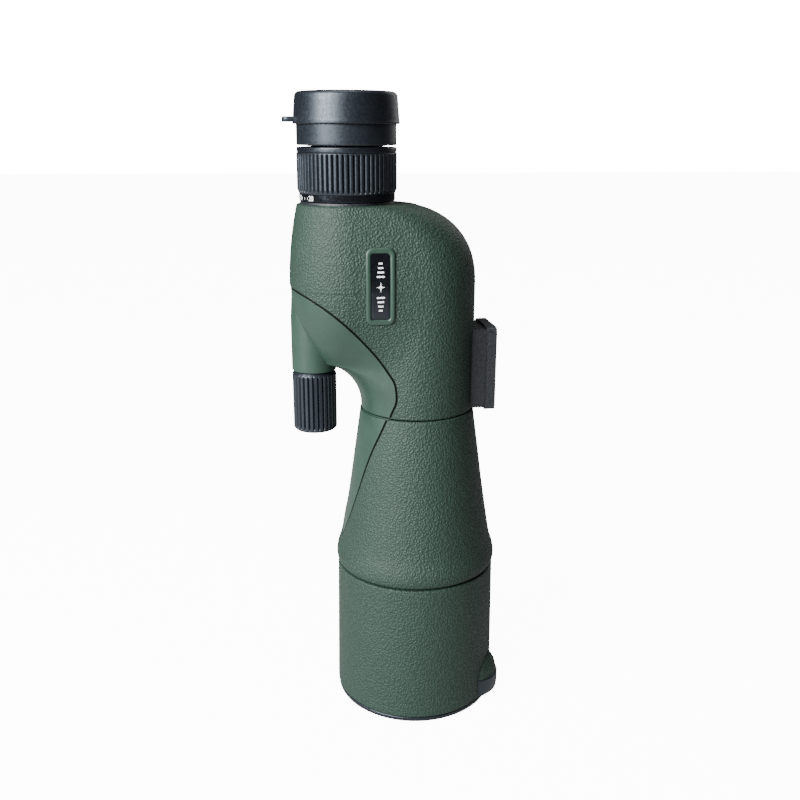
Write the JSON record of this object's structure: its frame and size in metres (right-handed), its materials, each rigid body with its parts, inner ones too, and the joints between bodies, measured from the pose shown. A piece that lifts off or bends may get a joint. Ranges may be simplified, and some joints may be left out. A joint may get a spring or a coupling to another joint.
{
  "type": "spotting scope",
  "caption": "Straight zoom spotting scope: tapered armoured barrel, prism housing, focus knob, zoom eyepiece, sliding sunshade with sight, tripod foot and caps.",
  "frame": {"origin": "objective axis at the bottom face of the objective cap, on which the scope stands", "axes": "+Z along the optical axis from objective to eyepiece, +X towards the tripod foot, the focus knob and eyepiece on the -X side"},
  "size_m": [0.1018, 0.08, 0.2954],
  "materials": {
    "armour_rubber": "fine leather grain, satin",
    "green_plastic": "smooth satin",
    "black_plastic": "fine matt",
    "black_rubber": "ribbed, satin",
    "soft_cap": "soft, satin",
    "gloss_black": "glossy",
    "black_metal": "fine cast texture, anodised black",
    "brass": "turned",
    "steel": "turned",
    "coated_glass": "antireflection coating",
    "prism_glass": "polished faces",
    "seal_rubber": "matt",
    "felt": "short pile"
  },
  "bodies": {
    "housing": {"sunshade_guide_ring": "felt", "barrel_tube": "green_plastic", "barrel_armour": "armour_rubber", "objective_cell": "black_metal", "objective_retaining_ring": "black_metal", "objective_lens_spacer": "black_metal", "objective_crown_lens": "coated_glass", "objective_flint_lens": "coated_glass", "barrel_baffles": "black_plastic", "housing_shell": "green_plastic", "housing_armour": "armour_rubber", "side_panel": "green_plastic", "badge_frame": "green_plastic", "badge_plate": "gloss_black", "foot_neck": "black_metal", "foot_plate": "black_metal", "foot_thread_insert": "brass", "foot_screws": "steel", "focus_bush": "brass", "focus_seal": "seal_rubber", "upper_prism": "prism_glass", "prism_plate": "black_metal", "guide_rods": "steel", "eyepiece_mount": "black_metal", "eyepiece_barrel": "black_metal", "field_lens": "coated_glass", "field_stop": "black_metal", "eyecup_guide": "black_plastic", "eye_lens": "coated_glass", "eye_lens_retainer": "black_metal"},
    "sunshade": {"sunshade_tube": "armour_rubber", "sight_body": "armour_rubber", "sight_insert": "black_rubber"},
    "objective_cap": {"objective_cap": "black_plastic"},
    "focus_knob": {"focus_knob": "black_rubber", "knob_screw": "steel", "focus_shaft": "steel", "shaft_clip": "steel"},
    "prism_carriage": {"prism_carriage": "black_metal", "lower_prism": "prism_glass", "focus_nut": "brass"},
    "zoom_ring": {"zoom_ring": "black_plastic", "zoom_grip": "black_rubber", "scale_ring": "gloss_black", "zoom_cam_sleeve": "brass"},
    "zoom_front_group": {"zoom_front_cell": "black_metal", "zoom_front_lens": "coated_glass"},
    "zoom_rear_group": {"zoom_rear_cell": "black_metal", "zoom_rear_lens": "coated_glass"},
    "eyecup": {"eyecup_sleeve": "black_plastic", "eyecup_rubber": "black_rubber"},
    "eyepiece_cap": {"eyepiece_cap": "soft_cap"}
  },
  "joints": [
    {"name": "sunshade_slide", "type": "slide", "parent": "housing", "child": "sunshade", "axis": [0, 0, -1], "range_m": [0, 0.04]},
    {"name": "objective_cap_pull", "type": "slide", "parent": "sunshade", "child": "objective_cap", "axis": [0, 0, -1], "range_m": [0, 0.03]},
    {"name": "focus_turn", "type": "hinge", "parent": "housing", "child": "focus_knob", "pos_m": [-0.049, 0, 0.157], "axis": [0, 0, 1], "range_deg": [-900, 900]},
    {"name": "prism_focus_slide", "type": "slide", "parent": "housing", "child": "prism_carriage", "axis": [0, 0, 1], "range_m": [-0.004, 0.004]},
    {"name": "zoom_turn", "type": "hinge", "parent": "housing", "child": "zoom_ring", "pos_m": [-0.0323, 0, 0.262], "axis": [0, 0, 1], "range_deg": [0, 100]},
    {"name": "zoom_front_slide", "type": "slide", "parent": "housing", "child": "zoom_front_group", "axis": [0, 0, 1], "range_m": [0, 0.006]},
    {"name": "zoom_rear_slide", "type": "slide", "parent": "housing", "child": "zoom_rear_group", "axis": [0, 0, -1], "range_m": [0, 0.004]},
    {"name": "eyecup_slide", "type": "slide", "parent": "housing", "child": "eyecup", "axis": [0, 0, 1], "range_m": [0, 0.008]},
    {"name": "eyepiece_cap_pull", "type": "slide", "parent": "eyecup", "child": "eyepiece_cap", "axis": [0, 0, 1], "range_m": [0, 0.02]}
  ],
  "couplings": [
    {"joint": "prism_focus_slide", "follows": "focus_turn", "m_per_rad": 0.0002546},
    {"joint": "zoom_front_slide", "follows": "zoom_turn", "m_per_rad": 0.003437},
    {"joint": "zoom_rear_slide", "follows": "zoom_turn", "m_per_rad": 0.002291}
  ]
}
